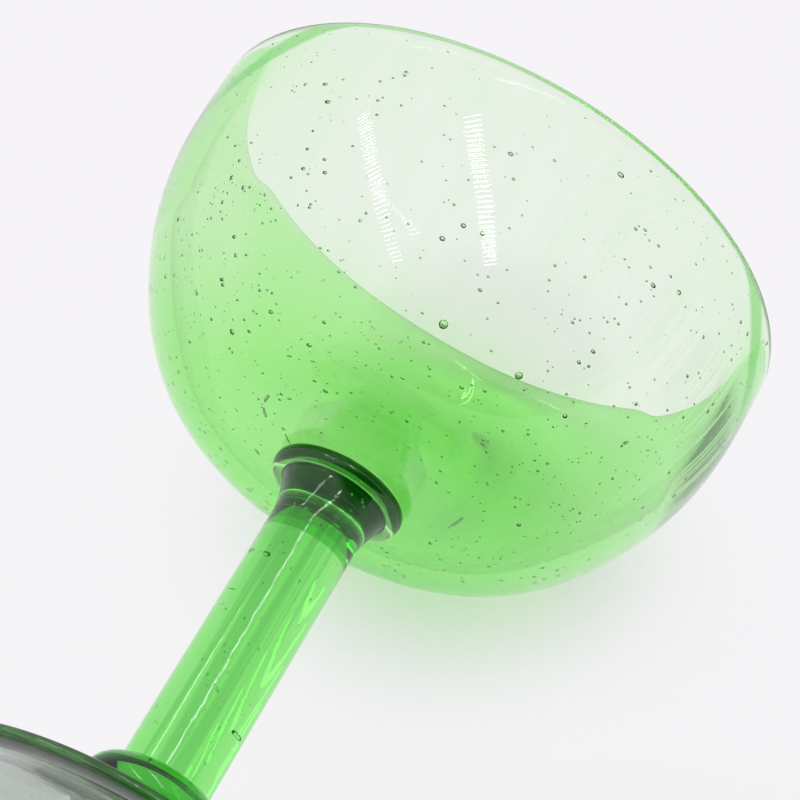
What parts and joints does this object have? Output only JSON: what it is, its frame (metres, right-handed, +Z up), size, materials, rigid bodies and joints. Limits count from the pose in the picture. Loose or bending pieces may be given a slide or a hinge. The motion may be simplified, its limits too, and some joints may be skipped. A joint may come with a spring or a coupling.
{
  "type": "wine glass",
  "caption": "Stemmed drinking goblet of hand-blown, seeded green glass: wide round-bottomed bowl, solid rod stem with a round collar at the foot and a flared, beaded collar at the bowl, and a low, hollow foot",
  "frame": {"origin": "on the glass's axis, in the plane of the ring that the foot stands on", "axes": "+Z up along the stem towards the mouth; X and Y are free, because the glass is turned about Z"},
  "size_m": [0.107, 0.107, 0.1365],
  "materials": {
    "green_glass": "clear, fire-polished, with small air seeds"
  },
  "bodies": {
    "root": {"foot": "green_glass", "foot_collar": "green_glass", "stem": "green_glass", "bowl_collar": "green_glass", "bowl": "green_glass"}
  },
  "joints": []
}
